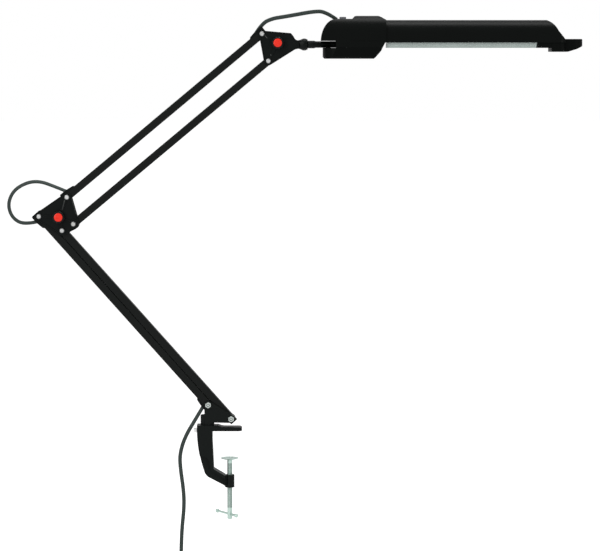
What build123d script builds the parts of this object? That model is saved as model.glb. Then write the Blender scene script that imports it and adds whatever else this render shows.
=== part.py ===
from build123d import *
import os
from math import atan2, cos, degrees, pi, radians, sin, tan

# A clamp-on desk lamp with two spring-balanced parallelogram arms and a compact
# fluorescent head. Millimetres, +Z up, +X towards the head, -Y towards the viewer.
# The origin is on the clamp screw's axis, at the underside of the clamp's top jaw.

# --- driving dimensions -----------------------------------------------------------------
# arms: square steel tubes, two to an arm, pivoted at both ends
tube = 12.0
tube_wall = 1.2
tube_corner = 1.4
arm_pivots = 400.0
tube_end = 7.0
lower_angle = 131.6
upper_angle = 39.8
lower_link = 42.5
lower_link_angle = -31.5
upper_link = 43.4
upper_link_angle = -76.7
base_pivot = (-33.7, 41.4)
knee_offset = (44.2, 30.3)
knee_knob_offset = (31.3, -0.9)
elbow_knob_offset = (24.7, -14.0)

# clearances
side_gap = 0.3
run_gap = 0.05
seat_gap = 0.3
hole_gap = 0.6

# plates of the knee and the elbow
plate = 2.2
plate_rib = 1.2
rib_width = 4.0
rim_width = 1.8
knee_pad_r = (6.8, 6.8, 8.5, 7.8)
elbow_pad_r = (5.8, 6.8)
rivet_d = 5.0
rivet_head_d = 8.0
rivet_head_h = 1.8
rivet_dimple_d = 2.6
rivet_dimple_h = 0.8
bush_wall = 1.0

# knobs
knob_d = 18.6
knob_h = 9.0
knob_boss_d = 20.0
knob_flutes = 12
cap_d = 14.6
cap_h = 2.4
knob_bolt_d = 6.0
knob_bolt_head_d = 12.0
knob_bolt_head_h = 3.2
spacer_d = 8.0

# cable caps in the ends of the cable-carrying tubes
cap_inboard = 19.5
cap_face = 9.8
cap_foot = 8.0
cap_plug_length = 15.0

# base bracket and clamp
spigot_x = -39.4
spigot_d = 10.0
spigot_depth = 36.0
bracket_cheek = 3.0
bracket_boss_d = 13.6
bracket_top = 25.4
bolt_d = 6.0
bolt_head_flats = 10.0
bolt_head_h = 4.0
nut_h = 5.0
jaw_length = 19.7
jaw_thick = 5.0
clamp_width = 24.0
clamp_web = 12.0
column_top = 9.2
column_inner = -27.1
lock_screw_d = 5.0
lock_screw_z = 0.2
screw_d = 8.0
screw_boss_d = 15.0
screw_boss_top = -71.0
screw_boss_bottom = -91.0
pad_d = 28.0
pad_top = -44.0
screw_bottom = -142.4
tommy_d = 3.6
tommy_length = 60.0
tommy_end_d = 6.4
tommy_z = -134.5
tommy_turn = 56.0
tommy_shift = -9.0

# head
shade_width = 66.0
shade_wall = 2.0
shade_back = 246.0
shade_top = 648.3
shade_edge = 613.3
strip_drop = 8.4
housing_width = 72.0
housing_wall = 2.5
housing_back = 144.1
housing_flat = 650.1
hump_top = 654.9
split_z = 606.0
belly_z = 588.1
belly_back = 147.3
spindle_z = 610.2
spindle_d = 8.8
eye_height = 9.2
eye_gap = 0.1
slot_end = 167.7
swivel_x = 176.5
swivel_pin_d = 6.0
swivel_eye_d = 15.0
grip_end = 553.6
lamp_tube_d = 12.4
lamp_tube_gap = 1.6
lamp_length = 217.0

# mains lead: flat two-core cord
cord_d = 6.0
cord_gap = 0.3
coil_outer = 46.2
coil_half_turns = 7
coil_pitch = 7.5
coil_layer = 8.4
coil_drop = -243.0
plug_drop = 46.0
tie_width = 4.0
tie_thick = 1.2
plug_width = 35.0
plug_thick = 14.0
plug_length = 36.0
pin_d = 4.0
pin_spacing = 19.0
pin_length = 19.0

# --- derived sizes ----------------------------------------------------------------------
half = tube / 2
inner_y = half + side_gap
plate_y = inner_y + plate
pad_y = plate_y + plate_rib
cheek_y = inner_y + bracket_cheek


def polar(point, angle, length):
    """The point at that distance and angle from another, in the side view."""
    return (point[0] + length * cos(radians(angle)), point[1] + length * sin(radians(angle)))


def moved(point, offset):
    return (point[0] + offset[0], point[1] + offset[1])


B1 = base_pivot
B2 = polar(B1, lower_link_angle, lower_link)
K1 = polar(B1, lower_angle, arm_pivots)
K2 = polar(B2, lower_angle, arm_pivots)
K3 = moved(K1, knee_offset)
K4 = polar(K3, upper_link_angle, upper_link)
E3 = polar(K3, upper_angle, arm_pivots)
E4 = polar(K4, upper_angle, arm_pivots)
knee_knob_at = moved(K1, knee_knob_offset)
elbow_knob_at = moved(E3, elbow_knob_offset)

parts = {}


def add(name, shape):
    parts[name] = shape


# --- helpers ----------------------------------------------------------------------------
def side_plane(y=0.0, at=(0.0, 0.0)):
    """The side view as seen in the picture, facing the viewer, at that depth."""
    return Plane(origin=(at[0], y, at[1]), x_dir=(1, 0, 0), z_dir=(0, -1, 0))


def slab(sketch, y0, y1):
    """A side-view sketch made solid from depth y0 to depth y1."""
    return extrude(side_plane(max(y0, y1)) * sketch, amount=abs(y1 - y0))


def cross(at, d, y0, y1):
    """A round bar along Y through a side-view point."""
    return slab(Pos(at[0], at[1]) * Circle(d / 2), y0, y1)


def rod(start, end, d):
    """A round bar between two points in space."""
    a = Vector(*start)
    b = Vector(*end)
    return Plane(origin=a, z_dir=b - a) * Cylinder(
        d / 2, (b - a).length, align=(Align.CENTER, Align.CENTER, Align.MIN)
    )


def side_polygon(points):
    return make_face(Polyline(*points, close=True))


def hull_of(circles):
    """The tight outline round some circles, each a point and a radius."""
    edges = []
    for at, r in circles:
        edges += (Pos(at[0], at[1]) * Circle(r)).edges()
    return make_hull(edges)


def strip_between(a, b, width):
    """A straight rib's outline from one point to another."""
    length = ((b[0] - a[0]) ** 2 + (b[1] - a[1]) ** 2) ** 0.5
    turn = degrees(atan2(b[1] - a[1], b[0] - a[0]))
    middle = ((a[0] + b[0]) / 2, (a[1] + b[1]) / 2)
    return Pos(middle[0], middle[1]) * Rot(0, 0, turn) * Rectangle(length, width)


def box_of(x0, x1, y0, y1, z0, z1):
    return Pos((x0 + x1) / 2, (y0 + y1) / 2, (z0 + z1) / 2) * Box(x1 - x0, y1 - y0, z1 - z0)


def bar_plane(pivot, angle):
    """X along a bar from its lower pivot, Y to its upper or rear side, Z to the viewer."""
    c, s = cos(radians(angle)), sin(radians(angle))
    return Plane(origin=(pivot[0], 0, pivot[1]), x_dir=(c, 0, s), z_dir=(0, -1, 0))


def end_plane(pivot, outward, outer):
    """X out of a bar's end, Y to its outer side."""
    ex, ez = cos(radians(outward)), sin(radians(outward))
    ox, oz = cos(radians(outer)), sin(radians(outer))
    normal = Vector(ex, 0, ez).cross(Vector(ox, 0, oz))
    return Plane(origin=(pivot[0], 0, pivot[1]), x_dir=(ex, 0, ez), z_dir=normal)


# --- arms -------------------------------------------------------------------------------
bush_d = rivet_d + 2 * run_gap + 2 * bush_wall
base_bush_d = bolt_d + 2 * run_gap + 2 * bush_wall
cavity = tube - 2 * tube_wall


def square_tube(holes, capped):
    """A square tube on X, with a cross hole of each diameter at its two pivots."""
    length = arm_pivots + 2 * tube_end
    body = Pos(arm_pivots / 2, 0, 0) * Box(length, tube, tube)
    body = fillet(body.edges().filter_by(Axis.X), tube_corner)
    body -= Pos(arm_pivots / 2, 0, 0) * Box(length, cavity, cavity)
    for x, d in zip((0, arm_pivots), holes):
        body -= Pos(x, 0, 0) * Cylinder(d / 2, tube * 2)
    if capped:
        for x0, x1 in (
            (-tube_end, cap_inboard),
            (arm_pivots - cap_inboard, arm_pivots + tube_end),
        ):
            body -= box_of(x0, x1, cavity / 2, tube, -tube, tube)
    return body


def outlet(tilt, crossing):
    """Where a cable cap's outlet starts, its direction and its depth, in the cap's frame."""
    way = Vector(sin(radians(tilt)), cos(radians(tilt)), 0)
    depth = (cap_face - 5.6) / cos(radians(tilt))
    mouth = Vector(-crossing, cap_face, 0)
    return mouth, way, depth


def cable_cap(pin_diameter, tilt, crossing):
    """An end cap with a plug in the tube, a raised outer side and a slanting cord outlet."""
    outline = side_polygon(
        [
            (-cap_inboard, cavity / 2),
            (-cap_inboard, half + 0.2),
            (-cap_inboard + 2.0, cap_foot),
            (-cap_inboard + 11.0, cap_face - 0.4),
            (-4.0, cap_face),
            (tube_end - 1.2, cap_face),
            (tube_end, cap_face - 1.2),
            (tube_end, cavity / 2),
        ]
    )
    saddle = extrude(outline, amount=half, both=True)
    plug_half = cavity / 2 - run_gap * 2
    plug = box_of(-cap_plug_length, tube_end, -plug_half, cavity / 2, -plug_half, plug_half)
    cap = saddle + plug
    cap -= Cylinder(pin_diameter / 2 + run_gap, tube * 2)
    mouth, way, depth = outlet(tilt, crossing)
    hole_r = cord_d / 2 + cord_gap
    start = mouth - way * depth
    cap -= Plane(origin=start, z_dir=way) * Cylinder(
        hole_r, depth + 14, align=(Align.CENTER, Align.CENTER, Align.MIN)
    )
    return cap


def cord_start(plane, tilt, crossing):
    """The foot of a cap's outlet, and a function giving points out along it, in space."""
    mouth, way, depth = outlet(tilt, crossing)

    def along(distance):
        return plane.from_local_coords(mouth + way * distance)

    return along(-depth), along


lower_outlet = (17.6, 2.6)
knee_outlet = (28.0, 3.6)
elbow_outlet = (72.0, -1.6)

lower_cap_plane = end_plane(B1, lower_angle + 180, lower_angle + 90)
knee_lower_cap_plane = end_plane(K1, lower_angle, lower_angle + 90)
knee_upper_cap_plane = end_plane(K3, upper_angle + 180, upper_angle + 90)
elbow_cap_plane = end_plane(E3, upper_angle, upper_angle + 90)

cap_hole = 2 * hole_gap
add(
    "lower_rear_tube",
    bar_plane(B1, lower_angle) * square_tube((bolt_d + cap_hole, rivet_d + cap_hole), True),
)
add(
    "lower_front_tube",
    bar_plane(B2, lower_angle)
    * square_tube((base_bush_d + 2 * run_gap, bush_d + 2 * run_gap), False),
)
add(
    "upper_top_tube",
    bar_plane(K3, upper_angle) * square_tube((rivet_d + cap_hole, rivet_d + cap_hole), True),
)
add(
    "upper_bottom_tube",
    bar_plane(K4, upper_angle)
    * square_tube((bush_d + 2 * run_gap, bush_d + 2 * run_gap), False),
)
add("base_cable_cap", lower_cap_plane * cable_cap(bolt_d, *lower_outlet))
add("knee_lower_cable_cap", knee_lower_cap_plane * cable_cap(rivet_d, *knee_outlet))
add("knee_upper_cable_cap", knee_upper_cap_plane * cable_cap(rivet_d, *knee_outlet))
add("elbow_cable_cap", elbow_cap_plane * cable_cap(rivet_d, *elbow_outlet))


def bush(at, outer_d, inner_d):
    sleeve = cross(at, outer_d, -half - side_gap / 2, half + side_gap / 2)
    return sleeve - cross(at, inner_d, -tube, tube)


add(
    "lower_front_bushes",
    Compound(
        [
            bush(B2, base_bush_d, bolt_d + 2 * run_gap),
            bush(K2, bush_d, rivet_d + 2 * run_gap),
        ]
    ),
)
add(
    "upper_bottom_bushes",
    Compound([bush(at, bush_d, rivet_d + 2 * run_gap) for at in (K4, E4)]),
)

# balance springs inside the front and bottom tubes
spring_d = 8.0
spring_start = 120.0
spring_length = 190.0
spring_wire = 1.4
spring_pin_d = 3.0
spring_hook = 16.0
spring_pin_x = spring_start + spring_length + spring_hook
strap_width = 7.0
strap_thick = 1.5
strap_eye_d = 9.4
spring_grooves = 10


def balance_spring():
    """A close-wound tension spring on X, hooked on a pin above and a strap below."""
    radius = spring_d / 2
    step = spring_length / spring_grooves
    profile = [(0, 0)]
    for i in range(spring_grooves):
        x = i * step
        profile += [(x, radius - 0.5), (x + 1.2, radius), (x + step - 1.2, radius)]
    profile += [(spring_length, radius - 0.5), (spring_length, 0)]
    body = revolve(make_face(Polyline(*profile, close=True)), Axis.X)
    body = Pos(spring_start, 0, 0) * body
    top = spring_start + spring_length
    hook_r = spring_pin_d / 2 + run_gap + spring_wire
    body += box_of(top - 1, spring_pin_x, -spring_wire / 2, spring_wire / 2, -1.0, 1.0)
    eye = Pos(spring_pin_x, 0, 0) * Cylinder(hook_r, 2.0)
    body += eye
    body -= Pos(spring_pin_x, 0, 0) * Cylinder(spring_pin_d / 2 + run_gap, tube)
    return body


def spring_strap(pivot_bush_d):
    """The flat strap from the spring's lower end to the pivot bush."""
    reach = spring_start - run_gap
    body = box_of(0, reach, -strap_width / 2, strap_width / 2, -strap_thick / 2, strap_thick / 2)
    body += Cylinder(strap_eye_d / 2, strap_thick)
    body -= Cylinder(pivot_bush_d / 2 + run_gap, tube)
    return body


def spring_pin():
    return Pos(spring_pin_x, 0, 0) * Cylinder(spring_pin_d / 2, tube)


for arm, pivot, angle, eye in (
    ("lower", B2, lower_angle, base_bush_d),
    ("upper", K4, upper_angle, bush_d),
):
    place = bar_plane(pivot, angle)
    carrier = "lower_front_tube" if arm == "lower" else "upper_bottom_tube"
    add(f"{arm}_spring", place * balance_spring())
    add(f"{arm}_spring_strap", place * spring_strap(eye))
    add(f"{arm}_spring_pin", place * spring_pin())
    parts[carrier] -= place * (Pos(spring_pin_x, 0, 0) * Cylinder(spring_pin_d / 2, tube * 2))


# --- knee and elbow plates --------------------------------------------------------------
def moulded_plate(outline, pads, knob_at, front):
    """A moulded plate with a rim, ribs from each pad to the knob's boss, and pockets."""
    sign = -1 if front else 1
    body = slab(outline, sign * inner_y, sign * pad_y)
    pocket = offset(outline, -rim_width)
    for at, r in pads:
        pocket -= Pos(at[0], at[1]) * Circle(max(r - rim_width, rivet_head_d / 2 + 0.8))
        pocket -= strip_between(at, knob_at, rib_width)
    pocket -= Pos(knob_at[0], knob_at[1]) * Circle(knob_boss_d / 2)
    for face in pocket.faces():
        body -= slab(face, sign * plate_y, sign * (pad_y + 1))
    for at, _ in pads:
        body -= cross(at, rivet_d, -tube * 2, tube * 2)
    body -= cross(knob_at, knob_bolt_d + 2 * run_gap, -tube * 2, tube * 2)
    return body


def pivot_rivet(at):
    """A pan-headed pivot pin right through both plates, riveted over at the back."""
    body = cross(at, rivet_d, -pad_y, pad_y)
    head = Cylinder(
        rivet_head_d / 2, rivet_head_h, align=(Align.CENTER, Align.CENTER, Align.MIN)
    )
    head = fillet(head.edges().group_by(Axis.Z)[-1], rivet_head_h * 0.7)
    head -= Pos(0, 0, rivet_head_h - rivet_dimple_h) * Cylinder(
        rivet_dimple_d / 2, rivet_head_h, align=(Align.CENTER, Align.CENTER, Align.MIN)
    )
    body += side_plane(-pad_y, at) * head
    rear = Plane(origin=(at[0], pad_y, at[1]), x_dir=(1, 0, 0), z_dir=(0, 1, 0))
    body += rear * head
    return body


def knob(at):
    """A fluted round knob, open at the front for its cap."""
    y0 = pad_y + seat_gap
    body = cross(at, knob_d, -y0, -y0 - knob_h)
    body = chamfer(body.faces().sort_by(Axis.Y)[0].edges(), 0.8)
    for i in range(knob_flutes):
        spot = polar(at, 360 / knob_flutes * i, knob_d / 2 + 1.1)
        body -= cross(spot, 3.6, -y0 - 1.5, -y0 - knob_h - 1)
    body -= cross(at, cap_d, -y0 - knob_h + cap_h * 0.6, -y0 - knob_h - 1)
    body -= cross(at, knob_bolt_d + 2 * run_gap, -y0 + 1, -y0 - knob_h * 0.6)
    return body


def knob_cap(at):
    y0 = pad_y + seat_gap + knob_h - cap_h * 0.6
    body = cross(at, cap_d, -y0, -y0 - cap_h)
    return fillet(body.faces().sort_by(Axis.Y)[0].edges(), 1.0)


def knob_bolt(at):
    """The bolt behind a knob: a domed head at the back and a shank into the knob."""
    reach = pad_y + seat_gap + knob_h * 0.6
    body = cross(at, knob_bolt_d, pad_y, -reach)
    head = cross(at, knob_bolt_head_d, pad_y, pad_y + knob_bolt_head_h)
    head = fillet(head.faces().sort_by(Axis.Y)[-1].edges(), knob_bolt_head_h * 0.6)
    return body + head


knee_pads = list(zip((K1, K3, K4, K2), knee_pad_r))
knee_outline = hull_of(knee_pads)
for side_name, is_front in (("front", True), ("rear", False)):
    add(f"knee_plate_{side_name}", moulded_plate(knee_outline, knee_pads, knee_knob_at, is_front))
add("knee_pivots", Compound([pivot_rivet(at) for at, _ in knee_pads]))
spacer = cross(knee_knob_at, spacer_d, -inner_y, inner_y)
add("knee_spacer", spacer - cross(knee_knob_at, knob_bolt_d + 2 * run_gap, -tube, tube))
for name, at in (("knee", knee_knob_at), ("elbow", elbow_knob_at)):
    add(f"{name}_knob_bolt", knob_bolt(at))
    add(f"{name}_knob", knob(at))
    add(f"{name}_knob_cap", knob_cap(at))

elbow_pads = list(zip((E3, E4), elbow_pad_r))
# the elbow's outline from its upper pivot round to its lower one, from the knob's centre
elbow_rim = [
    (-30.5, 19.6),
    (20.6, 15.1),
    (24.1, 11.0),
    (27.1, 5.9),
    (32.6, 2.0),
    (33.6, -8.8),
    (27.0, -10.4),
    (-12.9, -35.4),
    (-21.2, -33.0),
]


def elbow_shape():
    """The elbow's stepped outline, rounded at each corner."""
    points = [moved(elbow_knob_at, p) for p in elbow_rim]
    face = side_polygon(points)
    return fillet(face.vertices(), 1.8)


elbow_outline = elbow_shape()
for side_name, is_front in (("front", True), ("rear", False)):
    add(
        f"elbow_plate_{side_name}",
        moulded_plate(elbow_outline, elbow_pads, elbow_knob_at, is_front),
    )
add("elbow_pivots", Compound([pivot_rivet(at) for at, _ in elbow_pads]))

# --- neck between elbow and head --------------------------------------------------------
tang_r = 11.5
tang_half = inner_y - side_gap
neck_start = elbow_knob_at[0] + 36.6
cone_x = (118.1, 122.0)
cone_r = (5.0, 9.1, 5.2)


def neck_tang():
    """A flat tang round the knob's bolt that tapers to the round neck."""
    far = (neck_start, spindle_z)
    outline = hull_of([(elbow_knob_at, tang_r), (far, cone_r[0])])
    body = slab(outline, -tang_half, tang_half)
    clip = rod((elbow_knob_at[0] - 20, 0, elbow_knob_at[1]), (neck_start, 0, spindle_z), 60)
    body &= clip
    body -= cross(elbow_knob_at, knob_bolt_d + 2 * run_gap, -tube, tube)
    return body


def neck_ferrule():
    """The cone-shaped collar between the tang and the spindle."""
    profile = [
        (neck_start, 0),
        (neck_start, cone_r[0]),
        (cone_x[0], cone_r[1]),
        (cone_x[0] + 1.2, cone_r[1]),
        (cone_x[1], cone_r[2]),
        (cone_x[1], 0),
    ]
    body = revolve(make_face(Polyline(*profile, close=True)), Axis.X)
    body = Rot(90, 0, 0) * body
    return Pos(0, 0, spindle_z) * body


def head_spindle():
    """The round spindle and the flat eye that turns on the head's upright pin."""
    body = rod((cone_x[1], 0, spindle_z), (swivel_x - 4, 0, spindle_z), spindle_d)
    body += Pos(swivel_x, 0, spindle_z) * Cylinder(swivel_eye_d / 2, eye_height)
    body -= Pos(swivel_x, 0, spindle_z) * Cylinder(swivel_pin_d / 2 + run_gap, 40)
    return body


tang = neck_tang()
tang -= rod((neck_start, 0, spindle_z), (neck_start + 20, 0, spindle_z), 40)
add("neck_tang", tang)
add("neck_ferrule", neck_ferrule())
add("head_spindle", head_spindle())


# --- base bracket and its bolts ---------------------------------------------------------
def base_bracket():
    """A cast bracket: two cheeks, a web between them and a boss round the spigot."""
    foot_z = column_top + seat_gap
    under = 13.4
    cheek = hull_of([(B1, 6.6), (B2, 6.4), ((spigot_x + 1.1, under + 1), 0.6)])
    cheek += side_polygon(
        [
            (spigot_x + 0.5, foot_z),
            (spigot_x + 8.4, foot_z),
            (spigot_x + 12.4, under + 0.6),
            (spigot_x + 12.4, under + 4),
            (spigot_x + 0.5, under + 4),
        ]
    )
    body = slab(cheek, -cheek_y, -inner_y) + slab(cheek, inner_y, cheek_y)
    body += box_of(spigot_x, spigot_x + 15, -inner_y - 1, inner_y + 1, foot_z, 20.0)
    boss_h = bracket_top - foot_z
    boss = Cylinder(bracket_boss_d / 2, boss_h, align=(Align.CENTER, Align.CENTER, Align.MIN))
    boss = chamfer(boss.edges().group_by(Axis.Z)[-1], 1.6)
    body += Pos(spigot_x, 0, foot_z) * boss
    for at in (B1, B2):
        body -= cross(at, bolt_d + 2 * run_gap, -tube * 2, tube * 2)
    body -= Pos(spigot_x, 0, foot_z) * Cylinder(
        spigot_d / 2, 12, align=(Align.CENTER, Align.CENTER, Align.MIN)
    )
    return body


def base_spigot():
    """The steel pin that turns in the clamp's socket, grooved for the lock screw."""
    top = column_top + seat_gap + 12
    bottom = column_top - spigot_depth + 1
    pin = rod((spigot_x, 0, bottom), (spigot_x, 0, top), spigot_d)
    pin = chamfer(pin.edges().group_by(Axis.Z)[0], 1.0)
    ring = Cylinder(spigot_d / 2 + 1, lock_screw_d + 1.4) - Cylinder(
        spigot_d / 2 - 0.8, lock_screw_d + 1.4
    )
    return pin - Pos(spigot_x, 0, lock_screw_z) * ring


def hex_bolt(at):
    head = side_plane(-cheek_y, at) * extrude(
        RegularPolygon(bolt_head_flats / 2, 6, major_radius=False, rotation=30), bolt_head_h
    )
    shank = cross(at, bolt_d, -cheek_y, cheek_y + nut_h + 1)
    return head + shank


def lock_nut(at):
    rear = Plane(origin=(at[0], cheek_y, at[1]), x_dir=(1, 0, 0), z_dir=(0, 1, 0))
    nut = extrude(
        RegularPolygon(bolt_head_flats / 2, 6, major_radius=False, rotation=30), nut_h - 1.4
    )
    nut += Pos(0, 0, nut_h - 1.4) * Cylinder(
        bolt_head_flats / 2 - 0.6, 1.4, align=(Align.CENTER, Align.CENTER, Align.MIN)
    )
    nut -= Cylinder(bolt_d / 2, 30)
    return rear * nut


add("base_bracket", base_bracket())
add("base_spigot", base_spigot())
add("base_bolts", Compound([hex_bolt(at) for at in (B1, B2)]))
add("base_nuts", Compound([lock_nut(at) for at in (B1, B2)]))


# --- clamp ------------------------------------------------------------------------------
def clamp_frame():
    """The cast C-frame: socket column, top jaw, ribbed arm and threaded boss."""
    outer_top = (spigot_x - 12.1, column_top)
    outer_mid = (-49.6, -26.0)
    outer_low = (-40.6, -64.0)
    heel = (-33.5, -74.4)
    inner_low = (-24.9, -60.8)
    edge = ThreePointArc(outer_top, outer_mid, outer_low)
    turn = ThreePointArc(outer_low, (-38.0, -70.0), heel)
    rest = Polyline(
        heel,
        (-2.0, screw_boss_bottom),
        (0.0, screw_boss_bottom),
        (0.0, screw_boss_top - 1),
        (-6.0, screw_boss_top - 1),
        inner_low,
        (column_inner, -14.0),
        (column_inner, column_top),
        outer_top,
    )
    outline = make_face(edge + turn + rest)
    body = slab(outline, -clamp_width / 2, clamp_width / 2)
    pocket = side_polygon(
        [
            (-60.0, -38.0),
            (-43.4, -39.4),
            (-36.5, -42.6),
            (-32.4, -47.5),
            (-29.2, -62.5),
            (-8.0, -76.0),
            (-8.0, -100.0),
            (-60.0, -100.0),
        ]
    )
    pocket_depth = (clamp_width - clamp_web) / 2
    for side in (-1, 1):
        body -= slab(pocket, side * clamp_web / 2, side * (clamp_web / 2 + pocket_depth + 1))
    boss_h = screw_boss_top - screw_boss_bottom
    boss = Pos(0, 0, screw_boss_bottom) * Cylinder(
        screw_boss_d / 2, boss_h, align=(Align.CENTER, Align.CENTER, Align.MIN)
    )
    body -= box_of(-7.0, 10, clamp_web / 2, 20, -100, -60)
    body -= box_of(-7.0, 10, -20, -clamp_web / 2, -100, -60)
    body += boss
    jaw = box_of(column_inner - 1, jaw_length, -clamp_width / 2, clamp_width / 2, 0, jaw_thick)
    corners = jaw.edges().filter_by(Axis.Z).group_by(Axis.X)[-1]
    body += fillet(corners, 7.0)
    gusset = side_polygon(
        [(column_inner - 1, jaw_thick - 1), (column_inner - 1, column_top), (-11.0, jaw_thick), (-11.0, 4.0)]
    )
    body += slab(gusset, -6, 6)
    socket_depth = spigot_depth
    body -= Pos(spigot_x, 0, column_top - socket_depth) * Cylinder(
        spigot_d / 2 + run_gap, socket_depth + 1, align=(Align.CENTER, Align.CENTER, Align.MIN)
    )
    body -= Cylinder(screw_d / 2 + run_gap, 300)
    body -= rod((spigot_x - 30, 0, lock_screw_z), (spigot_x, 0, lock_screw_z), lock_screw_d + 0.1)
    return body


def lock_screw():
    """The cross-drilled screw that locks the spigot from behind."""
    tip = spigot_x - spigot_d / 2 - 0.4
    back = spigot_x - 12.4
    body = rod((back, 0, lock_screw_z), (tip, 0, lock_screw_z), lock_screw_d)
    head = rod((back - 4.4, 0, lock_screw_z), (back - 0.3, 0, lock_screw_z), 7.6)
    head = chamfer(head.faces().sort_by(Axis.X)[0].edges(), 0.5)
    body += head + rod((back - 1, 0, lock_screw_z), (back + 1, 0, lock_screw_z), lock_screw_d)
    body -= box_of(back - 5, back - 3.2, -0.6, 0.6, lock_screw_z - 5, lock_screw_z + 5)
    return body


def clamp_screw():
    """The screw with its riveted nose and the cross hole for the tommy bar."""
    top = pad_top - 3.4
    body = rod((0, 0, screw_bottom), (0, 0, top), screw_d)
    body = chamfer(body.edges().group_by(Axis.Z)[0], 1.0)
    body += rod((0, 0, top), (0, 0, pad_top - 1.0), 4.0)
    body += rod((0, 0, pad_top - 1.0), (0, 0, pad_top - 0.3), 7.0)
    way = (cos(radians(tommy_turn)), -sin(radians(tommy_turn)))
    start = (-20 * way[0], -20 * way[1], tommy_z)
    end = (20 * way[0], 20 * way[1], tommy_z)
    body -= rod(start, end, tommy_d + 2 * run_gap)
    return body


def clamp_pad():
    """The dished pressure disc on the screw's nose."""
    r = pad_d / 2
    profile = [
        (2.0 + run_gap, -3.35),
        (4.4, -3.35),
        (7.5, -2.9),
        (r - 0.6, -1.1),
        (r, -0.6),
        (r, 0),
        (5.0, 0),
        (4.2, -1.05),
        (2.0 + run_gap, -1.05),
    ]
    face = make_face(Plane.XZ * Polyline(*profile, close=True))
    return Pos(0, 0, pad_top) * revolve(face, Axis.Z)


def tommy_bar():
    """The sliding cross bar, swaged to a knob at both ends."""
    way = (cos(radians(tommy_turn)), -sin(radians(tommy_turn)))
    a = tommy_shift - tommy_length / 2
    b = tommy_shift + tommy_length / 2

    def spot(distance):
        return (distance * way[0], distance * way[1], tommy_z)

    body = rod(spot(a), spot(b), tommy_d)
    for end, inner in ((a, a + 5.0), (b, b - 5.0)):
        knob_end = rod(spot(end), spot(inner), tommy_end_d)
        body += fillet(knob_end.edges().filter_by(GeomType.CIRCLE), 1.6)
    return body


add("clamp_frame", clamp_frame())
add("lock_screw", lock_screw())
add("clamp_screw", clamp_screw())
add("clamp_pad", clamp_pad())
add("tommy_bar", tommy_bar())


# --- head -------------------------------------------------------------------------------
def arch(width, bottom, top, shoulder, draft=1.0):
    """An arched cross-section on the YZ plane: rounded shoulders and slightly drawn-in sides."""
    w = width / 2
    face = make_face(
        Polyline(
            (-w, bottom), (w, bottom), (w - draft, top), (-w + draft, top), close=True
        )
    )
    top_corners = face.vertices().group_by(Axis.Y)[-1]
    return fillet(top_corners, shoulder)


def run_x(section, x0, x1):
    """A cross-section carried along X."""
    return extrude(Plane(origin=(x0, 0, 0), x_dir=(0, 1, 0), z_dir=(1, 0, 0)) * section, x1 - x0)


shade_front = 526.0
slope_foot = (525.6, 618.0)


def shade_profile(inset):
    """The shade in the side view, with its long front slope."""
    i = inset
    back = shade_back - (10 if inset else 0)
    low = shade_edge - (20 if inset else 0)
    line = Polyline((back, low), (back, shade_top - i), (497.0 - i * 0.6, shade_top - i))
    brow = ThreePointArc(
        (497.0 - i * 0.6, shade_top - i),
        (505.6 - i, 643.2 - i * 0.8),
        (514.4 - i, 631.6 - i * 0.4),
    )
    slope = Polyline(
        (514.4 - i, 631.6 - i * 0.4),
        (slope_foot[0] - i, slope_foot[1] - i * 0.4),
        (shade_front - i, low),
        (back, low),
    )
    return make_face(line + brow + slope)


def plan(x0, x1, width, back_r, front_r):
    """A plan outline with rounded ends."""
    face = Pos((x0 + x1) / 2, 0) * Rectangle(x1 - x0, width)
    if back_r:
        face = fillet(face.vertices().group_by(Axis.X)[0], back_r)
    if front_r:
        face = fillet(face.vertices().group_by(Axis.X)[-1], front_r)
    return face


def tall(face):
    """A plan outline carried through the head's whole height."""
    return extrude(Plane(origin=(0, 0, 500)) * face, 240)


def shade():
    """The reflector hood: an arched shell, open below, that slopes down to its front."""
    outer = run_x(arch(shade_width, shade_edge, shade_top, 22.0), shade_back, shade_front)
    outer &= slab(shade_profile(0), -60, 60)
    outer &= tall(plan(shade_back, shade_front, shade_width, 0, 9.0))
    w = shade_wall
    inside = arch(shade_width - 2 * w, shade_edge - 30, shade_top - w, 20.0)
    inner = run_x(inside, shade_back - 20, shade_front - w)
    inner &= slab(shade_profile(w), -60, 60)
    return outer - inner


def housing_side(inset):
    """The rear housing in the side view: dome, flat, hump and slanting front."""
    i = inset
    back = housing_back + i
    flat = housing_flat - i
    dome_end = 168.0
    dome = EllipticalCenterArc(
        (dome_end, 613.7), dome_end - back, flat - 613.7, start_angle=90, arc_size=90
    )
    low = split_z - (12 if inset else 0)
    top = Polyline(
        (dome_end, flat),
        (193.6, flat),
        (197.2, hump_top - 0.6 - i),
        (200.0, hump_top - i),
        (234.0, hump_top - i),
        (238.0, hump_top - 1.6 - i),
        (shade_back - i, shade_top + 0.4 - i),
        (shade_back - i, 616.0),
        (240.5 - i, low),
        (back, low),
        (back, 613.7),
    )
    return make_face(dome + top)


def housing_shell(inset, lift):
    """The solid form of the rear housing's upper half, drawn in by a wall."""
    width = housing_width - 2 * inset
    section = arch(width, split_z - lift, hump_top - inset, 25.0 - inset, 2.0)
    body = run_x(section, housing_back - 1, 250)
    body &= slab(housing_side(inset), -60, 60)
    body &= tall(plan(housing_back + inset, 250, width, 31.0 - inset, 0))
    return body


cord_entry = (169.6, 649.0)
cord_entry_angle = 145.0
switch_x = (173.6, 183.8)
switch_width = 7.0
switch_top = 653.4
slot_height = spindle_d + 1.6


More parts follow.
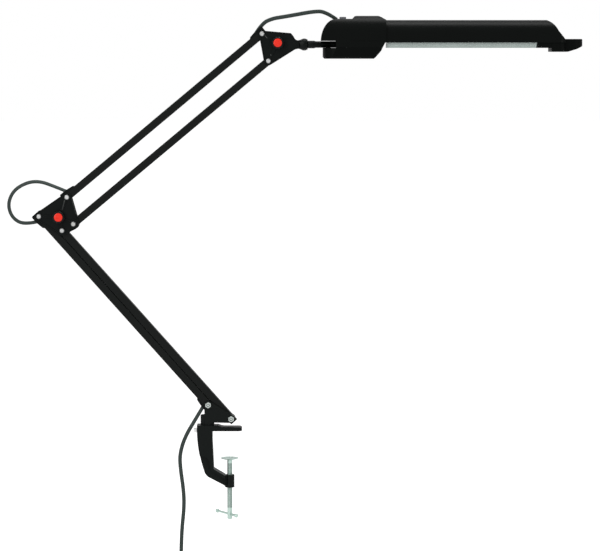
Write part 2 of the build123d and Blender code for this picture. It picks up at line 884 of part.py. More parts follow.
def head_housing():
    """The upper half of the rear housing, with the swivel slot, switch and cord holes."""
    body = housing_shell(0, 0)
    w = housing_wall
    body -= housing_shell(w, 10)
    slot_high = spindle_z + slot_height / 2 + 0.4
    floor = box_of(housing_back, swivel_x + 11, -40, 40, slot_high, slot_high + w)
    floor += box_of(swivel_x + 8.6, swivel_x + 11, -40, 40, split_z, slot_high + w)
    body += floor & housing_shell(w - 0.5, 0)
    slot_low = spindle_z - slot_height / 2 - 1
    body -= box_of(housing_back - 5, slot_end, -60, 60, slot_low, slot_high)
    boss_low = spindle_z + eye_height / 2 + eye_gap
    body += Pos(swivel_x, 0, boss_low) * Cylinder(
        8.0, 628 - boss_low, align=(Align.CENTER, Align.CENTER, Align.MIN)
    )
    body -= Pos(swivel_x, 0, 600) * Cylinder(swivel_pin_d / 2, 56)
    body -= box_of(
        switch_x[0] - 0.3,
        switch_x[1] + 0.3,
        -switch_width / 2 - 0.3,
        switch_width / 2 + 0.3,
        640,
        660,
    )
    out = polar(cord_entry, cord_entry_angle, 30)
    into = polar(cord_entry, cord_entry_angle, -4)
    body -= rod((into[0], 0, into[1]), (out[0], 0, out[1]), cord_d + 2 * cord_gap)
    groove = box_of(190, 260, housing_width / 2 - 0.9, 60, 615.2, 616.6)
    body -= groove
    body -= mirror(groove, Plane.XZ)
    return body


def belly_side(inset):
    """The lower cover in the side view, with its slanting front."""
    i = inset
    return make_face(
        Polyline(
            (belly_back + i, split_z),
            (belly_back + i, belly_z + 2.5 + i),
            (belly_back + 2.5 + i, belly_z + i),
            (226.4 - i * 0.6, belly_z + i),
            (229.5 - i, belly_z + 2.4 + i),
            (238.0 - i, 600.4 + i * 0.2),
            (240.5 - i, split_z),
            close=True,
        )
    )


def belly_form(inset, extra):
    width = housing_width - 2 * inset
    section = Pos(0, 0) * make_face(
        Polyline(
            (-width / 2 + 3, belly_z + inset),
            (width / 2 - 3, belly_z + inset),
            (width / 2, split_z + extra),
            (-width / 2, split_z + extra),
            close=True,
        )
    )
    section = fillet(section.vertices().group_by(Axis.Y)[0], 6.0)
    body = run_x(section, belly_back - 1, 245)
    side = belly_side(inset)
    if extra:
        side += Pos((belly_back + 240.5) / 2, split_z + extra / 2) * Rectangle(
            240.5 - belly_back - 2 * inset, extra
        )
    body &= slab(side, -60, 60)
    body &= tall(plan(belly_back + inset, 250, width, 26.0 - inset, 0))
    return body


screw_spots = [(156.0, -18.0), (156.0, 18.0), (224.0, -24.0), (224.0, 24.0)]
head_screw_d = 3.0
head_screw_head_d = 5.6


def ballast_cover():
    """The belly of the housing: a tray that carries the swivel pin and its screws."""
    body = belly_form(0, 0)
    body -= belly_form(housing_wall, 8) & box_of(0, 400, -60, 60, 0, split_z + 8)
    body -= box_of(
        housing_back - 5, swivel_x + 9, -60, 60, spindle_z - slot_height / 2, split_z + 10
    )
    boss_height = spindle_z - eye_height / 2 - eye_gap - belly_z - 1
    body += Pos(swivel_x, 0, belly_z + 1) * Cylinder(
        8.0, boss_height, align=(Align.CENTER, Align.CENTER, Align.MIN)
    )
    for x, y in screw_spots:
        post = Cylinder(3.6, split_z - belly_z - 0.4, align=(Align.CENTER, Align.CENTER, Align.MIN))
        body += Pos(x, y, belly_z + 0.2) * post
        body -= Pos(x, y, belly_z - 1) * Cylinder(
            head_screw_head_d / 2 + 0.1, 3.4, align=(Align.CENTER, Align.CENTER, Align.MIN)
        )
        body -= Pos(x, y, belly_z) * Cylinder(head_screw_d / 2, 60)
    body -= Pos(swivel_x, 0, 600) * Cylinder(swivel_pin_d / 2, 22)
    return body


def swivel_pin():
    return rod((swivel_x, 0, 592.0), (swivel_x, 0, 627.0), swivel_pin_d)


def head_screw(x, y):
    top = split_z - 1.0
    body = rod((x, y, belly_z + 2.4), (x, y, top), head_screw_d)
    head = rod((x, y, belly_z + 0.5), (x, y, belly_z + 2.4), head_screw_head_d)
    cross_slot = box_of(x - 1.6, x + 1.6, y - 0.4, y + 0.4, belly_z, belly_z + 1.3)
    cross_slot += box_of(x - 0.4, x + 0.4, y - 1.6, y + 1.6, belly_z, belly_z + 1.3)
    return body + head - cross_slot


def front_grip():
    """The front moulding: a sill, a block and the finger tab."""
    sill_width = shade_width - 2 * shade_wall - 0.6
    block_back = 503.7
    block = box_of(block_back, 525.0, -31.0, 31.0, 598.8, 613.0)
    block = fillet(block.edges().filter_by(Axis.Z).group_by(Axis.X)[-1], 8.0)
    sill = box_of(481.9, block_back + 1, -sill_width / 2, sill_width / 2, 604.9, 613.0)
    sill -= slab(side_polygon([(470, 604), (479.3, 604), (482.0, 614), (470, 614)]), -60, 60)
    tab_side = side_polygon(
        [
            (524.0, 598.8),
            (530.0, 598.9),
            (544.0, 603.2),
            (grip_end - 1.5, 607.0),
            (grip_end, 608.6),
            (grip_end, 617.2),
            (grip_end - 1.6, 618.8),
            (526.4, 618.8),
            (526.4, 613.0),
            (524.0, 613.0),
        ]
    )
    tab = slab(tab_side, -21, 21)
    tab &= tall(plan(510, grip_end, 42, 0, 14.0))
    scoop = slab(
        side_polygon([(529, 590), (529, 604.6), (548.5, 610.4), (548.5, 590)]), -16.5, 16.5
    )
    return block + sill + (tab - scoop)


def reflector():
    """The bright folded sheet above the lamp."""
    sheet = 0.6
    w = shade_width / 2 - shade_wall - 1.2
    top = shade_top - shade_wall - 5.0
    low = shade_edge + 1.0
    points = [(-w, low), (-w + 2, low + 9), (-15, top), (15, top), (w - 2, low + 9), (w, low)]
    under = [(y * 0.975, z - sheet * 1.4) for y, z in points]
    under[0] = (-w + sheet, low)
    under[-1] = (w - sheet, low)
    face = make_face(Polyline(*points, *reversed(under), close=True))
    return run_x(face, 262.0, 478.0)


def diffuser():
    """The clear prismatic tray under the lamp, a little below the shade's edge."""
    w = shade_width / 2 - shade_wall - 0.8
    bottom = shade_edge - strip_drop
    outer = make_face(
        Polyline(
            (-w, shade_edge + 1), (-w + 0.8, bottom), (w - 0.8, bottom), (w, shade_edge + 1),
            close=True,
        )
    )
    inner = make_face(
        Polyline(
            (-w + 1.4, shade_edge + 2),
            (-w + 2.2, bottom + 1.4),
            (w - 2.2, bottom + 1.4),
            (w - 1.4, shade_edge + 2),
            close=True,
        )
    )
    tray = run_x(outer, shade_back + 1.0, 481.6) - run_x(inner, shade_back + 2.6, 479.6)
    slant_front = side_polygon([(479.0, 604), (490, 604), (490, 616), (481.8, 616)])
    slant_back = side_polygon([(200, 600), (240.8, 600), (247.5, 616), (200, 616)])
    tray -= slab(slant_front, -60, 60)
    return tray - slab(slant_back, -60, 60)


lamp_z = 627.0
lamp_back = 270.0


def lamp():
    """The twin-tube lamp: two glass legs joined near their tips, on a square base."""
    pitch = (lamp_tube_d + lamp_tube_gap) / 2
    end = lamp_back + lamp_length - 14
    body = None
    for side in (-1, 1):
        leg = rod((lamp_back + 10, side * pitch, lamp_z), (end, side * pitch, lamp_z), lamp_tube_d)
        leg = fillet(leg.faces().sort_by(Axis.X)[-1].edges(), lamp_tube_d / 2 - 0.6)
        body = leg if body is None else body + leg
    body += rod((end - 12, -pitch, lamp_z), (end - 12, pitch, lamp_z), 7.0)
    return body


def lamp_base():
    """The lamp's square end with its two sockets for the glass."""
    width = 2 * lamp_tube_d + lamp_tube_gap + 5
    body = box_of(lamp_back - 10, lamp_back + 20, -width / 2, width / 2, lamp_z - 9, lamp_z + 9)
    body = fillet(body.edges().filter_by(Axis.X), 3.0)
    pitch = (lamp_tube_d + lamp_tube_gap) / 2
    for side in (-1, 1):
        body -= rod(
            (lamp_back + 10, side * pitch, lamp_z),
            (lamp_back + 40, side * pitch, lamp_z),
            lamp_tube_d,
        )
    return body


def lamp_holder():
    body = box_of(shade_back, lamp_back - 10, -19, 19, lamp_z - 11, lamp_z + 11)
    return fillet(body.edges().filter_by(Axis.X), 2.0)


def ballast():
    core = box_of(193.0, 226.0, -19, 19, 592.4, 624.0)
    coil = box_of(190.0, 229.0, -13, 13, 600.0, 618.0)
    return core + coil


def switch_button():
    body = box_of(
        switch_x[0], switch_x[1], -switch_width / 2, switch_width / 2, 643.0, switch_top
    )
    return fillet(body.faces().sort_by(Axis.Z)[-1].edges(), 0.8)


add("shade", shade())
add("head_housing", head_housing())
add("ballast_cover", ballast_cover())
add("swivel_pin", swivel_pin())
add("head_screws", Compound([head_screw(x, y) for x, y in screw_spots]))
add("front_grip", front_grip())
add("reflector", reflector())
add("diffuser", diffuser())
add("lamp", Compound([lamp(), lamp_base()]))
add("lamp_holder", lamp_holder())
add("ballast", ballast())
add("switch_button", switch_button())


# --- mains lead -------------------------------------------------------------------------
def cord_tube(points, name):
    """A round tube along straight runs joined by tangent arcs, as large as the runs allow."""
    corners = [Vector(*p) for p in points]
    radii = []
    for a, b, c in zip(corners, corners[1:], corners[2:]):
        turn = (b - a).get_angle(c - b)
        shorter = min((b - a).length, (c - b).length)
        radii.append(0.45 * shorter / tan(radians(turn) / 2))
    print(name, "radii", [round(r, 1) for r in radii])
    path = FilletPolyline(*corners, radius=radii)
    start = corners[0]
    tube_body = sweep(Plane(origin=start, z_dir=corners[1] - start) * Circle(cord_d / 2), path)
    expected = pi * cord_d**2 / 4 * path.length
    print(name, "length", round(path.length, 1), "volume ratio", round(tube_body.volume / expected, 5))
    return tube_body


def in_space(points):
    return [(x, 0.0, z) for x, z in points]


def as_point(vector):
    return (vector.X, vector.Y, vector.Z)


elbow_foot, elbow_way = cord_start(elbow_cap_plane, *elbow_outlet)
head_route = [
    as_point(elbow_foot),
    as_point(elbow_way(9.0)),
    *in_space([(68.0, 650.6), (95.3, 654.9), (133.0, 661.9), (151.6, 661.6)]),
    (cord_entry[0], 0.0, cord_entry[1]),
]
knee_upper_foot, knee_upper_way = cord_start(knee_upper_cap_plane, *knee_outlet)
knee_lower_foot, knee_lower_way = cord_start(knee_lower_cap_plane, *knee_outlet)
knee_route = [
    as_point(knee_upper_foot),
    as_point(knee_upper_way(18.5)),
    *in_space(
        [(-297.5, 395.6), (-318.2, 394.0), (-340.0, 381.2), (-349.2, 359.1), (-342.1, 337.4)]
    ),
    as_point(knee_lower_way(19.2)),
    as_point(knee_lower_foot),
]
base_foot, base_way = cord_start(lower_cap_plane, *lower_outlet)
tail_x = -77.8
tail_route = [
    as_point(base_foot),
    as_point(base_way(21.0)),
    *in_space(
        [
            (-71.0, -10.6),
            (-79.4, -38.0),
            (-78.6, -60.5),
            (-73.2, -98.3),
            (-72.8, -125.0),
            (-76.6, -160.0),
            (tail_x, -199.0),
            (tail_x, coil_drop + cord_d),
        ]
    ),
]


def coil_points():
    """Where the coil crosses its own level line, each half turn, and its height in the stack."""
    step = coil_pitch / 2
    centre_x = tail_x + coil_outer
    inner = coil_outer - coil_half_turns * step
    radii = [coil_outer - k * step for k in range(coil_half_turns + 1)]
    radii += [inner + k * step for k in range(coil_half_turns)]
    layers = [0.0] * (coil_half_turns + 1) + [coil_layer] * coil_half_turns
    points = []
    for k, (r, y) in enumerate(zip(radii, layers)):
        side = -1 if k % 2 == 0 else 1
        points.append(Vector(centre_x + side * r, y, coil_drop))
    return points


def half_turn(a, b, down):
    """Two tangent arcs from a to b that start straight down or straight up."""
    start_way = Vector(0, 0, -1 if down else 1)
    reach = (b - a).length / 2
    middle = (a + b) * 0.5 + start_way * reach
    first = TangentArc(a, middle, tangent=start_way)
    second = TangentArc(b, middle, tangent=start_way)
    return [first, second]


def lead_coil():
    """The put-away length: one unbroken tube, spiralling in, over and out again."""
    points = coil_points()
    start = points[0] + Vector(0, 0, cord_d)
    edges = [Line(start, points[0])]
    for k, (a, b) in enumerate(zip(points, points[1:])):
        edges += half_turn(a, b, k % 2 == 0)
    last = points[-1]
    foot = last - Vector(0, 0, plug_drop)
    edges.append(Line(last, foot))
    path = Wire(edges)
    body = sweep(Plane(origin=start, z_dir=(0, 0, -1)) * Circle(cord_d / 2), path)
    samples = []
    for edge in path.edges():
        count = max(2, int(edge.length / 3))
        samples += [edge.position_at(i / count) for i in range(count)]
    least = 1e9
    spacing = path.length / len(samples)
    skip = int(3 * cord_d / spacing) + 2
    for i, p in enumerate(samples):
        for q in samples[i + skip:]:
            least = min(least, (p - q).length)
    print("coil length", round(path.length, 1), "least gap", round(least - cord_d, 2))
    print("coil volume ratio", round(body.volume / (pi * cord_d**2 / 4 * path.length), 5))
    return body, foot


def coil_tie(centre_x):
    """A flat band round the bundle, opposite the place where the lead comes in."""
    inner_r = coil_outer - coil_half_turns * coil_pitch / 2 - cord_d / 2 - cord_gap
    outer_r = coil_outer + cord_d / 2 + cord_gap
    y0 = -cord_d / 2 - cord_gap
    y1 = coil_layer + cord_d / 2 + cord_gap
    t = tie_thick
    band = box_of(
        centre_x + inner_r - t,
        centre_x + outer_r + t,
        y0 - t,
        y1 + t,
        coil_drop - tie_width / 2,
        coil_drop + tie_width / 2,
    )
    band -= box_of(
        centre_x + inner_r, centre_x + outer_r, y0, y1, coil_drop - tie_width, coil_drop + tie_width
    )
    return band


def plug(top):
    """A flat two-pin plug that hangs from its flexible neck."""
    neck_length = 22.0
    x, y = top.X, top.Y
    z = top.Z
    neck = Pos(x, y, z - neck_length) * Cone(
        6.0, cord_d / 2 + 0.8, neck_length, align=(Align.CENTER, Align.CENTER, Align.MIN)
    )
    body_top = z - neck_length
    shoulder = Plane(origin=(x, y, body_top)) * RectangleRounded(20.0, 11.0, 4.0)
    waist = Plane(origin=(x, y, body_top - 14)) * RectangleRounded(plug_width, plug_thick, 4.0)
    upper = loft([shoulder, waist])
    lower = extrude(waist, amount=-(plug_length - 14))
    lower = fillet(lower.edges().group_by(Axis.Z)[0], 1.5)
    body = neck + upper + lower
    foot = body_top - plug_length
    pins = []
    for side in (-1, 1):
        px = x + side * pin_spacing / 2
        body -= rod((px, y, foot - 1), (px, y, foot + 6), pin_d)
        pin = rod((px, y, foot - pin_length), (px, y, foot + 6), pin_d)
        pins.append(fillet(pin.edges().group_by(Axis.Z)[0], 1.6))
    return body, Compound(pins)


add("head_lead", cord_tube(head_route, "head lead"))
add("knee_lead", cord_tube(knee_route, "knee lead"))
add("lead_tail", cord_tube(tail_route, "lead tail"))
coil, coil_end = lead_coil()
add("lead_coil", coil)
add("coil_tie", coil_tie(tail_x + coil_outer))
plug_body, plug_pins = plug(coil_end)
add("plug", plug_body)
add("plug_pins", plug_pins)

# --- write ------------------------------------------------------------------------------
os.makedirs("parts", exist_ok=True)
for name, shape in parts.items():
    export_step(shape, f"parts/{name}.step")
print(len(parts), "nodes")
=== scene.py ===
import math

import bmesh
import bpy
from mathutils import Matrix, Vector


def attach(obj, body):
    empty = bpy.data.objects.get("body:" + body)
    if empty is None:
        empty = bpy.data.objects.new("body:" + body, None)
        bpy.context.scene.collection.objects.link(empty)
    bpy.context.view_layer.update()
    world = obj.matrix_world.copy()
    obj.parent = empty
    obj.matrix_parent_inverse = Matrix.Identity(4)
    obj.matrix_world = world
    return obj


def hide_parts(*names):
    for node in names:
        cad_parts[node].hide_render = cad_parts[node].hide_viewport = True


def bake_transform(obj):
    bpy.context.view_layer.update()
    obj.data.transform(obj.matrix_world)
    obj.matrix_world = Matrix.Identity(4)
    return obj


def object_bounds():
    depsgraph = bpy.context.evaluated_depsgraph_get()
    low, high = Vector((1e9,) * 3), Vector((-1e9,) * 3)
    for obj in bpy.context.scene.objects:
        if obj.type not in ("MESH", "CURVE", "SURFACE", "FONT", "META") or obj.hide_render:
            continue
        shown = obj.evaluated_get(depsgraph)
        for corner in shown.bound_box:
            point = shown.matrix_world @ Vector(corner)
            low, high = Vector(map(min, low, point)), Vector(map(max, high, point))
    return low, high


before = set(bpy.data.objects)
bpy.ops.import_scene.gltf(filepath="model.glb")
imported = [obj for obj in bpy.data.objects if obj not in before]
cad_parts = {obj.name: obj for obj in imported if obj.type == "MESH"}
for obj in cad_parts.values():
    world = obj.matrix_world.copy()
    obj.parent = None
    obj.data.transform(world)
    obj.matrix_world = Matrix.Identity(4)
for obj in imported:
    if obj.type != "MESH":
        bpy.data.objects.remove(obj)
cad_low, cad_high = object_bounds()
scene = bpy.context.scene


# --- camera -----------------------------------------------------------------------------
# The photograph was taken from the height of the head, looking slightly down. view_width is
# what its width shows of the plane through the lamp.
view_aim = Vector((0.1117, 0.0, 0.2466))
view_eye = Vector((0.1117, -4.2, 0.6104))
view_width = 0.948
view_depth = 60.0
sensor_width = 36.0


def set_camera():
    camera = bpy.data.objects.new("camera", bpy.data.cameras.new("camera"))
    scene.collection.objects.link(camera)
    camera.location = view_eye
    camera.rotation_euler = (view_aim - view_eye).to_track_quat("-Z", "Y").to_euler()
    camera.data.sensor_width = sensor_width
    camera.data.lens = sensor_width * (view_aim - view_eye).length / view_width
    camera.data.clip_end = view_depth
    scene.camera = camera


set_camera()


# --- shader expressions -----------------------------------------------------------------
# A Mix node has its sockets for every kind of value, so those for colours go by number.
mix_share, mix_low, mix_high, mix_colour = 0, 6, 7, 2


class Value:
    """A socket in a material that takes part in sums."""

    def __init__(self, finish, socket):
        self.finish = finish
        self.socket = socket

    def _math(self, operation, *terms):
        node = self.finish.node("ShaderNodeMath", {"operation": operation}, *terms)
        return node.value(0)

    def __add__(self, other):
        return self._math("ADD", self, other)

    def __radd__(self, other):
        return self._math("ADD", other, self)

    def __sub__(self, other):
        return self._math("SUBTRACT", self, other)

    def __rsub__(self, other):
        return self._math("SUBTRACT", other, self)

    def __mul__(self, other):
        return self._math("MULTIPLY", self, other)

    def __rmul__(self, other):
        return self._math("MULTIPLY", other, self)

    def __truediv__(self, other):
        return self._math("DIVIDE", self, other)

    def __pow__(self, other):
        return self._math("POWER", self, other)

    def __gt__(self, other):
        return self._math("GREATER_THAN", self, other)

    def __lt__(self, other):
        return self._math("LESS_THAN", self, other)

    def least(self, other):
        return self._math("MINIMUM", self, other)

    def most(self, other):
        return self._math("MAXIMUM", self, other)

    def sine(self):
        return self._math("SINE", self)

    def magnitude(self):
        return self._math("ABSOLUTE", self)

    def angle(self, across):
        """The angle about an axis, from the distances up and across."""
        return self._math("ARCTAN2", self, across)

    def repeat(self, length):
        """The position inside one repeat, from 0 to 1."""
        return self._math("FRACT", self / length)

    def between(self, low, high):
        """0 below low, 1 above high, and a smooth rise between them."""
        node = self.finish.node(
            "ShaderNodeMapRange", {"interpolation_type": "SMOOTHSTEP"}, self, low, high, 0.0, 1.0
        )
        return node.value(0)


class Placed:
    """A node of a finish, and its outputs."""

    def __init__(self, finish, node):
        self.finish = finish
        self.node = node

    def value(self, output):
        return Value(self.finish, self.node.outputs[output])


class Finish:
    """One surface finish, built from expressions."""

    def __init__(self, name):
        self.material = bpy.data.materials.new(name)
        self.material.use_nodes = True
        self.tree = self.material.node_tree
        self.tree.nodes.clear()
        self.surface = self.tree.nodes.new("ShaderNodeBsdfPrincipled")
        output = self.tree.nodes.new("ShaderNodeOutputMaterial")
        self.tree.links.new(self.surface.outputs[0], output.inputs[0])
        self._place = None

    def fill(self, socket, value):
        if isinstance(value, Value):
            self.tree.links.new(value.socket, socket)
        elif isinstance(value, tuple) and len(value) == 3 and socket.type == "RGBA":
            socket.default_value = (*value, 1.0)
        else:
            socket.default_value = value

    def node(self, kind, settings, *inputs, **named):
        node = self.tree.nodes.new(kind)
        for key, setting in settings.items():
            setattr(node, key, setting)
        for socket, value in zip(node.inputs, inputs):
            self.fill(socket, value)
        for key, value in named.items():
            self.fill(node.inputs[key.replace("_", " ")], value)
        return Placed(self, node)

    def set(self, **named):
        for key, value in named.items():
            self.fill(self.surface.inputs[key.replace("_", " ")], value)
        return self

    @property
    def place(self):
        if self._place is None:
            self._place = self.node("ShaderNodeTexCoord", {}).value("Object")
        return self._place

    def axis(self, index):
        return self.node("ShaderNodeSeparateXYZ", {}, self.place).value(index)

    def stretched(self, scale, turn=(0.0, 0.0, 0.0)):
        return self.node(
            "ShaderNodeMapping",
            {"vector_type": "POINT"},
            Scale=scale,
            Rotation=turn,
            Vector=self.place,
        ).value(0)

    def noise(self, scale, detail=3.0, rough=0.5, where=None):
        return self.node(
            "ShaderNodeTexNoise",
            {},
            Vector=where or self.place,
            Scale=scale,
            Detail=detail,
            Roughness=rough,
        ).value("Fac")

    def cells(self, scale, where=None):
        return self.node(
            "ShaderNodeTexVoronoi", {}, Vector=where or self.place, Scale=scale
        ).value("Distance")

    def blend(self, mask, low, high):
        """One colour where the mask is 0 and the other where it is 1."""
        node = self.node("ShaderNodeMix", {"data_type": "RGBA"})
        self.fill(node.node.inputs[mix_share], mask)
        self.fill(node.node.inputs[mix_low], low)
        self.fill(node.node.inputs[mix_high], high)
        return node.value(mix_colour)

    def bump(self, height, distance, strength=1.0):
        return self.node(
            "ShaderNodeBump", {}, Height=height, Distance=distance, Strength=strength
        ).value(0)


def shade_of(colour, factor):
    return tuple(c * factor for c in colour)


# --- finishes ---------------------------------------------------------------------------
def powder_coat(name, colour, rough=0.36, texture=0.00004, spec=0.1):
    """Sprayed black enamel: a faint orange peel, a little dust and rubbed patches."""
    f = Finish(name)
    peel = f.noise(900.0, 2.0)
    cloud = f.noise(9.0, 4.0, 0.6)
    dust = f.noise(60.0, 6.0, 0.7).between(0.55, 0.8)
    f.set(
        Base_Color=f.blend(dust * 0.5, colour, shade_of(colour, 1.7)),
        Roughness=rough + cloud * 0.12 + dust * 0.08,
        Normal=f.bump(peel, texture, 0.6),
    )
    f.set(Specular_IOR_Level=spec)
    return f.material


def moulded_plastic(name, colour, rough=0.42, grain=2600.0, depth=0.00003, spec=0.4):
    """Moulded plastic with a fine spark-eroded grain and a few handling marks."""
    f = Finish(name)
    pits = f.cells(grain)
    cloud = f.noise(14.0, 5.0, 0.65)
    marks = f.noise(38.0, 8.0, 0.75, f.stretched((1.0, 6.0, 1.0))).between(0.62, 0.78)
    f.set(
        Base_Color=f.blend(cloud * 0.5, shade_of(colour, 0.85), shade_of(colour, 1.25)),
        Roughness=rough + cloud * 0.14 - marks * 0.06,
        Normal=f.bump(pits, depth, 0.5),
    )
    f.set(Specular_IOR_Level=spec)
    return f.material


def rib_highlight_plastic(name, colour, lines, rough, spec):
    """Moulded plastic whose ribs, from point to point, get a painted grey highlight along their
    edge.
    """
    highlight_core, highlight_edge = 0.0003, 0.0009
    plate_front = -0.0094
    f = Finish(name)
    x, z = f.axis(0), f.axis(2)
    rib_highlight = None
    for (x0, z0), (x1, z1) in lines:
        length = math.hypot(x1 - x0, z1 - z0)
        u, w = (x1 - x0) / length, (z1 - z0) / length
        along = (x - x0) * u + (z - z0) * w
        past = (along - length / 2).magnitude() - length / 2
        off = ((x - x0) * w - (z - z0) * u).magnitude()
        near = 1 - off.most(past).between(highlight_core, highlight_edge)
        rib_highlight = near if rib_highlight is None else rib_highlight.most(near)
    cloud = f.noise(60.0, 4.0, 0.65)
    rib_highlight = rib_highlight * cloud.between(0.35, 0.6) * (f.axis(1) < plate_front)
    # painted highlight: a light grey line along each rib on the front face, broken up by the cloud
    f.set(
        Base_Color=f.blend(rib_highlight, colour, (0.06, 0.064, 0.062)),
        Roughness=rough + cloud * 0.14 + rib_highlight * 0.1,
        Normal=f.bump(f.cells(2600.0), 0.00003, 0.5),
    )
    f.set(Specular_IOR_Level=spec)
    return f.material


def gloss_plastic(name, colour):
    f = Finish(name)
    cloud = f.noise(120.0, 3.0)
    f.set(
        Base_Color=f.blend(cloud, shade_of(colour, 0.88), shade_of(colour, 1.08)),
        Roughness=0.24 + cloud * 0.1,
        Normal=f.bump(f.noise(420.0, 2.0), 0.00002, 0.5),
    )
    f.set(Coat_Weight=0.12, Coat_Roughness=0.15, Specular_IOR_Level=0.2)
    return f.material


def thread(f, pitch, low, high):
    """The height of a screw thread about the vertical axis, flat outside low and high; the plated
    finish paints shade in its grooves.
    """
    around = f.axis(1).angle(f.axis(0))
    ridge = (f.axis(2) * (2 * math.pi / pitch) - around).sine() * 0.5 + 0.5
    z = f.axis(2)
    return 1 - (1 - ridge) * (z > low) * (z < high)


def ring(f, centres, inner, outer):
    """1 in a ring about each centre, seen along the pivots; the plated finish paints shade there.
    """
    soft_inner, soft_outer = 0.0002, 0.0004
    away = None
    for x, z in centres:
        dx, dz = f.axis(0) - x, f.axis(2) - z
        one = (dx * dx + dz * dz) ** 0.5
        away = one if away is None else away.least(one)
    past_inner = away.between(inner - soft_inner, inner + soft_inner)
    return past_inner * (1 - away.between(outer, outer + soft_outer))


def plated(name, colour, rough, tint, streak=(40.0, 40.0, 700.0), relief_and_shade=None):
    """Plated steel with drawn streaks and faint passivation colour, dented and given painted shade
    where the relief is low.
    """
    f = Finish(name)
    lines = f.noise(1.0, 4.0, 0.6, f.stretched(streak))
    cloud = f.noise(70.0, 4.0, 0.6)
    plate = f.blend(cloud.between(0.3, 0.75), colour, shade_of(tint, 0.86))
    height = relief_and_shade(f) if relief_and_shade else None
    # painted shade: where the relief is low, the colour goes dark
    f.set(
        Base_Color=f.blend(height, shade_of(colour, 0.16), plate) if relief_and_shade else plate,
        Metallic=1.0,
        Roughness=rough + lines * 0.16,
        Normal=f.bump(height, 0.0003, 0.8) if relief_and_shade else f.bump(lines, 0.00003, 0.5),
    )
    return f.material


def lead_rubber(name, colour):
    f = Finish(name)
    cloud = f.noise(45.0, 4.0, 0.6)
    fine = f.noise(1500.0, 2.0)
    f.set(
        Base_Color=f.blend(cloud, shade_of(colour, 0.8), shade_of(colour, 1.3)),
        Roughness=0.46 + cloud * 0.14,
        Normal=f.bump(fine, 0.00002, 0.5),
    )
    f.set(Specular_IOR_Level=0.12)
    return f.material


def prismatic(name):
    """Clear ribbed plastic, greyish green where the light comes through it."""
    f = Finish(name)
    pitch = 0.0028
    ribs = (f.axis(1) * (2 * math.pi / pitch)).sine()
    cross = (f.axis(0) * (2 * math.pi / pitch)).sine()
    cloud = f.noise(26.0, 4.0, 0.6)
    f.set(
        Base_Color=f.blend(cloud, (0.26, 0.31, 0.29), (0.36, 0.42, 0.4)),
        Roughness=0.22 + cloud * 0.12,
        Alpha=0.86,
        Normal=f.bump(ribs * cross, 0.0005, 0.7),
    )
    f.set(Coat_Weight=0.25, Coat_Roughness=0.1)
    return f.material


def reflector_sheet(name):
    f = Finish(name)
    lines = f.noise(1.0, 3.0, 0.6, f.stretched((20.0, 900.0, 900.0)))
    f.set(
        Base_Color=(0.86, 0.87, 0.88),
        Metallic=1.0,
        Roughness=0.18 + lines * 0.14,
        Normal=f.bump(lines, 0.00003, 0.4),
    )
    return f.material


def lamp_white(name):
    """Coated glass legs on a moulded white end."""
    f = Finish(name)
    end_from, end_to = 0.2895, 0.2903
    end = 1 - f.axis(0).between(end_from, end_to)
    cloud = f.noise(60.0, 3.0)
    f.set(
        Base_Color=f.blend(end, (0.9, 0.91, 0.89), (0.72, 0.72, 0.69)),
        Roughness=0.16 + end * 0.3 + cloud * 0.05,
        Normal=f.bump(f.noise(700.0, 2.0), 0.00002, 0.4),
    )
    return f.material


def laminated_iron(name):
    f = Finish(name)
    sheet = 0.0012
    layers = f.axis(0).repeat(sheet).between(0.35, 0.65)
    cloud = f.noise(50.0, 4.0)
    f.set(
        Base_Color=f.blend(layers, (0.09, 0.09, 0.095), (0.16, 0.15, 0.14)),
        Metallic=0.6,
        Roughness=0.5 + cloud * 0.2,
        Normal=f.bump(layers, 0.0002, 0.6),
    )
    return f.material


def wound_spring(name, turn):
    """Close-wound wire, as fine ridges square to the spring's length."""
    f = Finish(name)
    wire = 0.0014
    turned_place = f.stretched((1.0, 1.0, 1.0), (0.0, turn, 0.0))
    along = f.node("ShaderNodeSeparateXYZ", {}, turned_place).value(0)
    ridge = (along * (2 * math.pi / wire)).sine()
    cloud = f.noise(80.0, 3.0)
    f.set(
        Base_Color=f.blend(cloud, (0.3, 0.3, 0.31), (0.46, 0.46, 0.47)),
        Metallic=1.0,
        Roughness=0.3 + cloud * 0.15,
        Normal=f.bump(ridge, 0.0006, 0.8),
    )
    return f.material


# pivots and knobs (x, z), as in the solids
base_pivots = [(-0.0337, 0.0414), (0.002537, 0.019194)]
rivet_pivots = [
    (-0.29927, 0.340519),
    (-0.263033, 0.318313),
    (-0.25507, 0.370819),
    (-0.245086, 0.328583),
    (0.052243, 0.626863),
    (0.0622, 0.5846),
]
knob_centres = {"knee": (-0.26797, 0.339619), "elbow": (0.076943, 0.612863)}

screw_pitch = 0.00125
thread_low, thread_high = -0.124, -0.0525
lower_lean, upper_lean = math.radians(131.6), math.radians(39.8)
# from point to point (x, z), on the front plates of the knee and the elbow: the ribs that get a
# painted highlight
highlight_ribs = [
    ((-0.2585, 0.3665), (-0.2622, 0.3515)),
    ((-0.2765, 0.3508), (-0.2655, 0.3522)),
    ((0.0565, 0.6245), (0.0615, 0.6185)),
    ((0.0655, 0.6065), (0.0635, 0.5990)),
    ((0.0635, 0.5990), (0.0662, 0.5935)),
]

enamel_black = (0.0026, 0.0034, 0.003)
casting_black = (0.0026, 0.0038, 0.0034)
joint_black = (0.0022, 0.0032, 0.003)
head_black = (0.0011, 0.0017, 0.0014)
cover_black = (0.001, 0.0015, 0.0013)
knob_black = (0.0028, 0.0035, 0.0035)
zinc_green, zinc_tint = (0.36, 0.46, 0.42), (0.46, 0.57, 0.52)
all_ways = (500.0, 500.0, 500.0)

